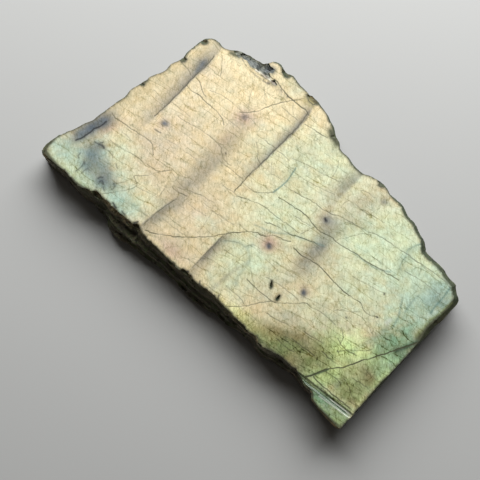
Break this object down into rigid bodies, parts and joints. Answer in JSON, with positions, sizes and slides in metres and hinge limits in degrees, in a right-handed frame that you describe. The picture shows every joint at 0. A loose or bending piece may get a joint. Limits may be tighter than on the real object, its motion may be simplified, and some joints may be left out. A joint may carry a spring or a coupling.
{
  "type": "polished labradorite slab",
  "caption": "Flat slab of labradorite with a polished face, one sawn end and broken edges, lying on its sawn underside.",
  "frame": {"origin": "middle of the slab's box, on the surface that it rests on", "axes": "+X along the slab's long edge towards its sawn end, +Y from the long edge to the broken far edge, +Z out of the polished face"},
  "size_m": [0.1014, 0.0602, 0.007],
  "materials": {
    "labradorite": "polished face with a gold to pale green flash, rough dark olive broken walls, matt sawn underside"
  },
  "bodies": {
    "root": {"labradorite_slab": "labradorite"}
  },
  "joints": []
}
